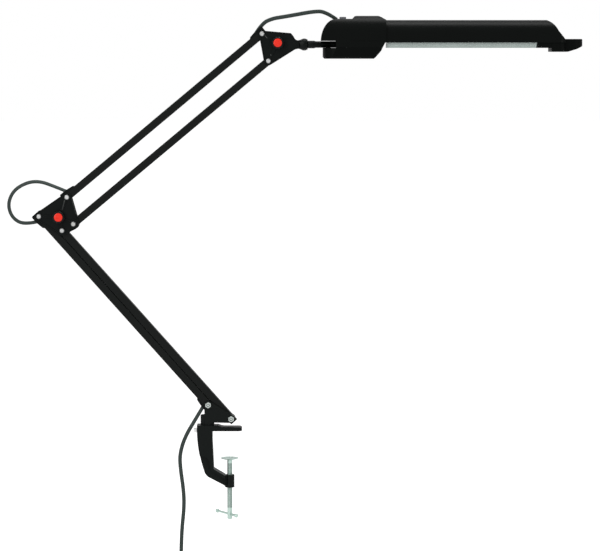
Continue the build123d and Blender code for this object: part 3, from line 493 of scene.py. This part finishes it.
arm_enamel = powder_coat("arm_enamel", enamel_black, 0.34)
casting_enamel = powder_coat("casting_enamel", casting_black, 0.38, 0.00009, 0.08)
joint_plastic = moulded_plastic("joint_plastic", joint_black, 0.34, spec=0.07)
head_plastic = moulded_plastic("head_plastic", head_black, 0.3, 2200.0, 0.00002, 0.055)
cover_plastic = moulded_plastic("cover_plastic", cover_black, 0.4, 1500.0, 0.00006, 0.04)
# the front plates' ribs carry a painted highlight
plate_plastic = rib_highlight_plastic("plate_plastic", joint_black, highlight_ribs, 0.34, 0.07)
knob_plastic = moulded_plastic("knob_plastic", knob_black, 0.28, spec=0.12)
cap_red = gloss_plastic("cap_red", (0.68, 0.022, 0.009))
zinc = plated("zinc", zinc_green, 0.34, zinc_tint)
# painted shade in the screw's thread grooves
threaded_zinc = plated(
    "threaded_zinc",
    zinc_green,
    0.34,
    zinc_tint,
    relief_and_shade=lambda f: thread(f, screw_pitch, thread_low, thread_high),
)
# painted shade: a dark ring in each bolt head's recess
bolt_zinc = plated(
    "bolt_zinc",
    (0.42, 0.46, 0.44),
    0.3,
    (0.5, 0.54, 0.52),
    relief_and_shade=lambda f: 1 - ring(f, base_pivots, inner=0.0017, outer=0.0026) * 0.8,
)
nickel = plated("nickel", (0.6, 0.6, 0.61), 0.24, (0.56, 0.56, 0.54), all_ways)
# painted shade: a dark ring round the edge of each rivet head
rivet_nickel = plated(
    "rivet_nickel",
    (0.55, 0.56, 0.56),
    0.24,
    (0.5, 0.5, 0.49),
    all_ways,
    lambda f: 1 - ring(f, rivet_pivots, inner=0.0027, outer=0.006) * 0.85,
)
bearing = moulded_plastic("bearing", (0.62, 0.6, 0.54), 0.4)
socket_white = moulded_plastic("socket_white", (0.72, 0.72, 0.69), 0.38)
button_grey = moulded_plastic("button_grey", (0.11, 0.115, 0.125), 0.42)
rubber = lead_rubber("rubber", (0.027, 0.036, 0.033))
plug_rubber = lead_rubber("plug_rubber", (0.03, 0.032, 0.031))
clear_tray = prismatic("clear_tray")
bright_sheet = reflector_sheet("bright_sheet")
lamp_glass = lamp_white("lamp_glass")
iron = laminated_iron("iron")
lower_wire = wound_spring("lower_wire", lower_lean)
upper_wire = wound_spring("upper_wire", upper_lean)

node_finish = {
    "clamp_frame": casting_enamel,
    "lock_screw": nickel,
    "clamp_screw": threaded_zinc,
    "clamp_pad": zinc,
    "tommy_bar": zinc,
    "base_bracket": casting_enamel,
    "base_spigot": nickel,
    "base_bolts": zinc,
    "base_nuts": zinc,
    "lower_rear_tube": arm_enamel,
    "lower_front_tube": arm_enamel,
    "upper_top_tube": arm_enamel,
    "upper_bottom_tube": arm_enamel,
    "base_cable_cap": joint_plastic,
    "knee_lower_cable_cap": joint_plastic,
    "knee_upper_cable_cap": joint_plastic,
    "elbow_cable_cap": joint_plastic,
    "lower_front_bushes": bearing,
    "upper_bottom_bushes": bearing,
    "lower_spring": lower_wire,
    "upper_spring": upper_wire,
    "lower_spring_strap": zinc,
    "upper_spring_strap": zinc,
    "lower_spring_pin": arm_enamel,
    "upper_spring_pin": arm_enamel,
    "knee_plate_front": plate_plastic,
    "knee_plate_rear": joint_plastic,
    "knee_pivots": rivet_nickel,
    "knee_spacer": nickel,
    "knee_knob_bolt": zinc,
    "knee_knob": knob_plastic,
    "knee_knob_cap": cap_red,
    "elbow_plate_front": plate_plastic,
    "elbow_plate_rear": joint_plastic,
    "elbow_pivots": rivet_nickel,
    "elbow_knob_bolt": zinc,
    "elbow_knob": knob_plastic,
    "elbow_knob_cap": cap_red,
    "neck_tang": casting_enamel,
    "neck_ferrule": joint_plastic,
    "head_spindle": casting_enamel,
    "shade": head_plastic,
    "head_housing": head_plastic,
    "ballast_cover": cover_plastic,
    "swivel_pin": nickel,
    "head_screws": zinc,
    "front_grip": cover_plastic,
    "reflector": bright_sheet,
    "diffuser": clear_tray,
    "lamp": lamp_glass,
    "lamp_holder": socket_white,
    "ballast": iron,
    "switch_button": button_grey,
    "coil_tie": joint_plastic,
    "plug": plug_rubber,
    "plug_pins": nickel,
}


def paint(piece, finish):
    if not piece.material_slots:
        piece.data.materials.append(finish)
    for place in piece.material_slots:
        place.material = finish


for node, finish in node_finish.items():
    paint(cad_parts[node], finish)


# --- mains lead -------------------------------------------------------------------------
lead_width = 0.0062
lead_thick = 0.0038
head_route = [
    (0.03996, 0.0, 0.62392),
    (0.05199, 0.0, 0.64303),
    (0.0680, 0.0, 0.6506),
    (0.0953, 0.0, 0.6549),
    (0.1330, 0.0, 0.6619),
    (0.1516, 0.0, 0.6616),
    (0.1696, 0.0, 0.6490),
]
knee_route = [
    (-0.25417, 0.0, 0.37886),
    (-0.27571, 0.0, 0.38764),
    (-0.2975, 0.0, 0.3956),
    (-0.3182, 0.0, 0.3940),
    (-0.3400, 0.0, 0.3812),
    (-0.3492, 0.0, 0.3591),
    (-0.3421, 0.0, 0.3374),
    (-0.32290, 0.0, 0.32684),
    (-0.29959, 0.0, 0.33244),
]
tail_route = [
    (-0.0405, 0.0, 0.04062),
    (-0.05351, 0.0, 0.0188),
    (-0.0710, 0.0, -0.0106),
    (-0.0794, 0.0, -0.0380),
    (-0.0786, 0.0, -0.0605),
    (-0.0732, 0.0, -0.0983),
    (-0.0728, 0.0, -0.1250),
    (-0.0766, 0.0, -0.1600),
    (-0.0778, 0.0, -0.1990),
    (-0.0778, 0.0, -0.2370),
]


def midway(a, b, share=0.5):
    return tuple(p + (q - p) * share for p, q in zip(a, b))


def coil_route():
    """The put-away length: in through one layer, over and out through the next."""
    outer, inner, layer, height = 0.0462, 0.01995, 0.0084, -0.243
    points_a_half, halves = 6, 7
    plug_drops = (0.015, 0.03, 0.045)
    centre = Vector((tail_route[-1][0] + outer, 0.0, height))
    # the line runs inside its control points, so they stand a little further out
    swell = 1 / math.cos(math.radians(90 / points_a_half)) ** 0.98
    points = []
    for i in range(2 * halves * points_a_half + 1):
        half_turns = i / points_a_half
        angle = math.pi * (1 + half_turns)
        if half_turns <= halves:
            radius = outer - (outer - inner) * half_turns / halves
            depth = 0.0
        elif half_turns <= halves + 1:
            radius = inner
            depth = layer * (0.5 - 0.5 * math.cos(math.pi * (half_turns - halves)))
        else:
            radius = inner + (outer - inner) / halves * (half_turns - halves - 1)
            depth = layer
        reach = radius * swell
        points.append(centre + Vector((math.cos(angle) * reach, depth, math.sin(angle) * reach)))
    last = points[-1]
    points += [last - Vector((0, 0, drop)) for drop in plug_drops]
    return [tuple(p) for p in points]


def lead_section():
    """The section of flat two-core cord: two round cores and the waist between them."""
    half, thick = lead_width / 2, lead_thick / 2
    points, waist = 16, 0.82
    section = []
    for k in range(points):
        angle = math.radians(360 / points * k)
        if k % (points // 2) == points // 4:
            section.append((0.0, math.copysign(thick * waist, math.sin(angle))))
        else:
            lobe = math.copysign(half - thick, math.cos(angle))
            section.append((lobe + thick * math.cos(angle), thick * math.sin(angle)))
    return section


def spline_through(name, route, detail):
    """Points along the NURBS line that has the route's points as its control points."""
    curve = bpy.data.curves.new(name, "CURVE")
    curve.dimensions = "3D"
    spline = curve.splines.new("NURBS")
    spline.points.add(len(route) - 1)
    for point, where in zip(spline.points, route):
        point.co = (*where, 1.0)
    spline.order_u = 3
    spline.use_endpoint_u = True
    spline.resolution_u = detail
    route_object = bpy.data.objects.new(name + "_route", curve)
    scene.collection.objects.link(route_object)
    seen = bpy.context.evaluated_depsgraph_get()
    line = bpy.data.meshes.new_from_object(route_object.evaluated_get(seen))
    path = [v.co.copy() for v in line.vertices]
    bpy.data.objects.remove(route_object)
    bpy.data.meshes.remove(line)
    return path


def distances(path):
    """How far along the path each of its points lies."""
    out = [0.0]
    for a, b in zip(path, path[1:]):
        out.append(out[-1] + (b - a).length)
    return out


def heading(path, i):
    """The way the path runs at a point, and the way square to it in the picture's plane."""
    tangent = (path[min(i + 1, len(path) - 1)] - path[max(i - 1, 0)]).normalized()
    side = Vector((0, 1, 0)).cross(tangent).normalized()
    return tangent, side


def swept(form, path, section_at):
    """A tube in the form through a ring of points at each point of the path."""
    rings = []
    for i, point in enumerate(path):
        tangent, side = heading(path, i)
        out = tangent.cross(side)
        rings.append([form.verts.new(point + side * u + out * v) for u, v in section_at(i)])
    for ring, following in zip(rings, rings[1:]):
        for k in range(len(ring)):
            form.faces.new((ring[k - 1], ring[k], following[k], following[k - 1]))
    form.faces.new(rings[0])
    form.faces.new(reversed(rings[-1]))


def finished(form, name, finish, smooth=True):
    """A new piece of the scene from a form."""
    bmesh.ops.recalc_face_normals(form, faces=form.faces)
    piece = bpy.data.objects.new(name, bpy.data.meshes.new(name))
    form.to_mesh(piece.data)
    form.free()
    scene.collection.objects.link(piece)
    if smooth:
        piece.data.shade_smooth()
    paint(piece, finish)
    return piece


def lead(name, route, turns, detail=10):
    """A stretch of the lead, its section turned by turns, in degrees, from end to end."""
    path = spline_through(name, route, detail)
    along = distances(path)
    section = lead_section()

    def section_at(i):
        share = along[i] / along[-1] * (len(turns) - 1)
        k = min(int(share), len(turns) - 2)
        turn = math.radians(turns[k] + (turns[k + 1] - turns[k]) * (share - k))
        c, s = math.cos(turn), math.sin(turn)
        return [(u * c - v * s, u * s + v * c) for u, v in section]

    form = bmesh.new()
    swept(form, path, section_at)
    piece = finished(form, name, rubber)
    return piece, [tuple(p) for p in path], along[-1]


def hang(name, node, route, turns):
    """A stretch of the lead between two points, standing in for the CAD node, which it hides."""
    piece, path, length = lead(name, route, turns)
    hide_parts(node)
    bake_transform(piece)


# The bends of the knee and the tail were found by trial, so that the lead keeps most of its
# thickness at the lower arm's limits. The middle of the head's lead still folds where the
# head tilts all the way up.
head_first = midway(head_route[2], head_route[3], 0.3)
head_second = midway(head_route[3], head_route[4])
knee_middle = midway(knee_route[5], knee_route[6])
tail_first = midway(tail_route[2], tail_route[3])

hang(
    "head_lead_rear",
    "head_lead",
    [*head_route[:3], head_first],
    (45, 15, 0),
)
hang(
    "head_lead_middle",
    "head_lead",
    [head_first, head_route[3], head_second],
    (0, 0),
)
hang(
    "head_lead_front",
    "head_lead",
    [head_second, *head_route[4:]],
    (0, 15, 40),
)
hang(
    "knee_lead_upper",
    "knee_lead",
    [*knee_route[:6], knee_middle],
    (60, 42, 38),
)
hang(
    "knee_lead_lower",
    "knee_lead",
    [knee_middle, *knee_route[6:]],
    (38, 34, 45),
)
hang(
    "tail_lead_top",
    "lead_tail",
    [*tail_route[:3], tail_first],
    (40, 12),
)

low_route = [tail_first, *tail_route[3:-1], *coil_route()]
low_piece, low_path, low_length = lead("tail_lead", low_route, (12, 0, 0), 6)
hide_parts("lead_tail", "lead_coil")
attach(low_piece, "base")


# --- pieces that the scene adds ---------------------------------------------------------
up = Vector((0, 0, 1))
crease = math.radians(32)
doubles = 1e-7


def crisp(form, name, finish):
    """A piece that shades smooth but keeps its edges."""
    piece = finished(form, name, finish)
    piece.data.set_sharp_from_angle(angle=crease)
    return piece


def turned(form, start, way, profile, steps=40):
    """Spins a profile of (distance along way, radius) pairs about the line from start."""
    start, way = Vector(start), Vector(way)
    verts = [form.verts.new(start + way * along + up * radius) for along, radius in profile]
    edges = [form.edges.new(pair) for pair in zip(verts, verts[1:])]
    bmesh.ops.spin(
        form,
        geom=verts + edges,
        cent=start,
        axis=way,
        angle=2 * math.pi,
        steps=steps,
        use_merge=True,
    )
    bmesh.ops.remove_doubles(form, verts=form.verts[:], dist=doubles)


def turned_piece(name, start, way, profile, finish):
    form = bmesh.new()
    turned(form, start, way, profile)
    return crisp(form, name, finish)


def extruded(form, outline, way):
    """A slab from a closed outline, pushed along way."""
    face = form.faces.new([form.verts.new(point) for point in outline])
    raised = bmesh.ops.extrude_face_region(form, geom=[face])["geom"]
    bmesh.ops.translate(
        form, vec=way, verts=[part for part in raised if isinstance(part, bmesh.types.BMVert)]
    )


spindle_z = 0.6102


def add_spindle_sleeve():
    """Brings the spindle to its width in the photograph."""
    profile = [
        (0, 0),
        (0, 0.0057),
        (0.0005, 0.006),
        (0.0105, 0.006),
        (0.0130, 0.0051),
        (0.036, 0.0051),
        (0.037, 0.0046),
        (0.037, 0),
    ]
    sleeve = turned_piece(
        "spindle_sleeve", (0.1232, 0.0, spindle_z), (1, 0, 0), profile, joint_plastic
    )
    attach(sleeve, "neck")


def add_neck_collar():
    """The ferrule at its width in the photograph, with its cone and its lip."""
    profile = [
        (0, 0),
        (0, 0.0066),
        (0.003, 0.0072),
        (0.0075, 0.0091),
        (0.0085, 0.0094),
        (0.0115, 0.0094),
        (0.0125, 0.0088),
        (0.0146, 0.0082),
        (0.0152, 0.0074),
        (0.0152, 0),
    ]
    collar = turned_piece(
        "neck_collar", (0.1085, 0.0, spindle_z), (1, 0, 0), profile, joint_plastic
    )
    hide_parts("neck_ferrule")
    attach(collar, "neck")


def add_cap_buttons():
    """The knobs' red caps with their stepped faces."""
    knob_face = -0.01756
    profile = [
        (0, 0),
        (0, 0.0067),
        (0.0013, 0.0067),
        (0.0019, 0.0063),
        (0.0022, 0.0055),
        (0.00225, 0.0047),
        (0.0021, 0.0043),
        (0.0023, 0.0030),
        (0.0024, 0),
    ]
    for joint, (x, z) in knob_centres.items():
        cap = turned_piece(
            joint + "_cap_button", (x, knob_face, z), (0, -1, 0), profile, cap_red
        )
        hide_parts(joint + "_knob_cap")
        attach(cap, joint + "_knob_body")


def add_base_bolts():
    """Hexagon heads with a recess, and their shanks."""
    cheek_face = -0.0093
    head = [
        (0, 0),
        (0, 0.0050),
        (0.0032, 0.0050),
        (0.0040, 0.0044),
        (0.0040, 0.0027),
        (0.0030, 0.0024),
        (0.0030, 0),
    ]
    shank = [(0, 0), (0, 0.003), (0.0236, 0.003), (0.0246, 0.0022), (0.0246, 0)]
    form = bmesh.new()
    for x, z in base_pivots:
        turned(form, (x, cheek_face, z), (0, -1, 0), head, 6)
        turned(form, (x, cheek_face, z), (0, 1, 0), shank, 24)
    bolts = crisp(form, "base_hex_bolts", bolt_zinc)
    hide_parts("base_bolts")
    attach(bolts, "base")


def add_neck_blade():
    """Fills the height of the head's slot, less wide than the spindle."""
    half = 0.0039
    outline = [
        (0.1585, 0.6053),
        (0.1688, 0.6053),
        (0.1698, 0.6063),
        (0.1698, 0.6143),
        (0.1688, 0.6154),
        (0.1585, 0.6154),
        (0.1575, 0.6143),
        (0.1575, 0.6063),
    ]
    form = bmesh.new()
    extruded(form, [(x, -half, z) for x, z in outline], (0, 2 * half, 0))
    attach(crisp(form, "neck_blade", joint_plastic), "neck")


def add_jaw_gusset():
    """The raised back of the fixed jaw, with the gusset that runs up to the socket."""
    half, rounding = 0.0116, 0.0005
    outline = [
        (-0.0300, 0.0040),
        (-0.0300, 0.0089),
        (-0.0185, 0.0089),
        (-0.0125, 0.0069),
        (-0.0090, 0.0064),
        (0.0165, 0.0062),
        (0.0192, 0.0048),
        (0.0192, 0.0040),
    ]
    form = bmesh.new()
    extruded(form, [(x, -half, z) for x, z in outline], (0, 2 * half, 0))
    bmesh.ops.bevel(
        form, geom=form.edges[:], offset=rounding, segments=2, affect="EDGES", profile=0.7
    )
    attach(crisp(form, "jaw_gusset", casting_enamel), "clamp")


def add_cover_lips():
    """Close the slit between the housing and the belly, on both sides."""
    lip_z, lip_height = 0.6051, 0.0008
    lip = [
        (0.1679, 0.0338),
        (0.1853, 0.0338),
        (0.1853, 0.0358),
        (0.171, 0.0358),
        (0.1679, 0.0356),
    ]
    form = bmesh.new()
    for side in (-1, 1):
        extruded(form, [(x, side * y, lip_z) for x, y in lip], (0, 0, lip_height))
    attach(crisp(form, "cover_lips", cover_plastic), "head")


def add_grip_gasket():
    """Closes the slit between the shade and the grip, as a U open to the rear."""
    gasket_z, gasket_height = 0.6126, 0.0013
    rear, outer_x, outer_y = 0.483, 0.5252, 0.0322
    inner_x, inner_y = 0.5222, 0.0295
    outline = [
        (rear, -outer_y),
        (outer_x, -outer_y),
        (outer_x, outer_y),
        (rear, outer_y),
        (rear, inner_y),
        (inner_x, inner_y),
        (inner_x, -inner_y),
        (rear, -inner_y),
    ]
    form = bmesh.new()
    extruded(form, [(x, y, gasket_z) for x, y in outline], (0, 0, gasket_height))
    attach(crisp(form, "grip_gasket", cover_plastic), "head")


add_spindle_sleeve()
add_neck_collar()
add_cap_buttons()
add_base_bolts()
add_neck_blade()
add_jaw_gusset()
add_cover_lips()
add_grip_gasket()


# --- stage ------------------------------------------------------------------------------
floor_gap = 0.004
floor_size = 30.0
floor_grey = (0.82, 0.82, 0.82)
white = (1.0, 1.0, 1.0)
# Rays from the camera, mirrors and clear parts see white, and other rays less.
floor_glow = 0.6
lit_level, seen_level = 0.5, 1.0


def set_floor():
    floor = bpy.data.objects.new("floor", bpy.data.meshes.new("floor"))
    scene.collection.objects.link(floor)
    form = bmesh.new()
    bmesh.ops.create_grid(form, x_segments=1, y_segments=1, size=floor_size)
    bmesh.ops.translate(form, vec=(0, 0, cad_low[2] - floor_gap), verts=form.verts)
    form.to_mesh(floor.data)
    form.free()
    f = Finish("floor_white")
    f.set(Base_Color=floor_grey, Roughness=0.9)
    ray = f.node("ShaderNodeLightPath", {})
    mirror = ray.value("Is Glossy Ray").most(ray.value("Is Transmission Ray"))
    seen = ray.value("Is Camera Ray").most(mirror)
    f.set(Emission_Color=white, Emission_Strength=seen * floor_glow)
    paint(floor, f.material)


def set_world():
    world = bpy.data.worlds.new("studio")
    scene.world = world
    world.use_nodes = True
    tree = world.node_tree
    tree.nodes.clear()

    def joined(kind, settings, *inputs):
        node = tree.nodes.new(kind)
        for key, setting in settings.items():
            setattr(node, key, setting)
        for socket, value in zip(node.inputs, inputs):
            if isinstance(value, bpy.types.NodeSocket):
                tree.links.new(value, socket)
            else:
                socket.default_value = value
        return node.outputs

    def sum_of(operation, *inputs):
        return joined("ShaderNodeMath", {"operation": operation}, *inputs)[0]

    rays = joined("ShaderNodeLightPath", {})
    mirror = sum_of("MAXIMUM", rays["Is Glossy Ray"], rays["Is Transmission Ray"])
    seen = sum_of("MAXIMUM", mirror, rays["Is Camera Ray"])
    level = sum_of("MULTIPLY_ADD", seen, seen_level - lit_level, lit_level)
    back = joined("ShaderNodeBackground", {}, (*white, 1.0), level)
    joined("ShaderNodeOutputWorld", {}, back[0])


def studio_lamp(name, where, aim, size, power):
    lamp = bpy.data.lights.new(name, "AREA")
    lamp.shape = "RECTANGLE"
    lamp.size, lamp.size_y = size
    lamp.energy = power
    holder = bpy.data.objects.new(name, lamp)
    scene.collection.objects.link(holder)
    holder.location = where
    holder.rotation_euler = (Vector(aim) - Vector(where)).to_track_quat("-Z", "Y").to_euler()


set_floor()
set_world()
studio_lamp("key", (-1.4, -1.9, 2.3), (0.1, 0, 0.35), (1.2, 1.2), 42.0)
studio_lamp("top", (0.3, 0.2, 2.4), (0.2, 0, 0.4), (1.6, 0.8), 30.0)
studio_lamp("fill", (2.2, -2.0, 0.9), (0.1, 0, 0.3), (1.4, 1.4), 14.0)
studio_lamp("side", (-1.6, -2.1, 0.7), (0.15, 0, 0.63), (0.5, 0.9), 14.0)

scene.view_settings.view_transform = "Standard"
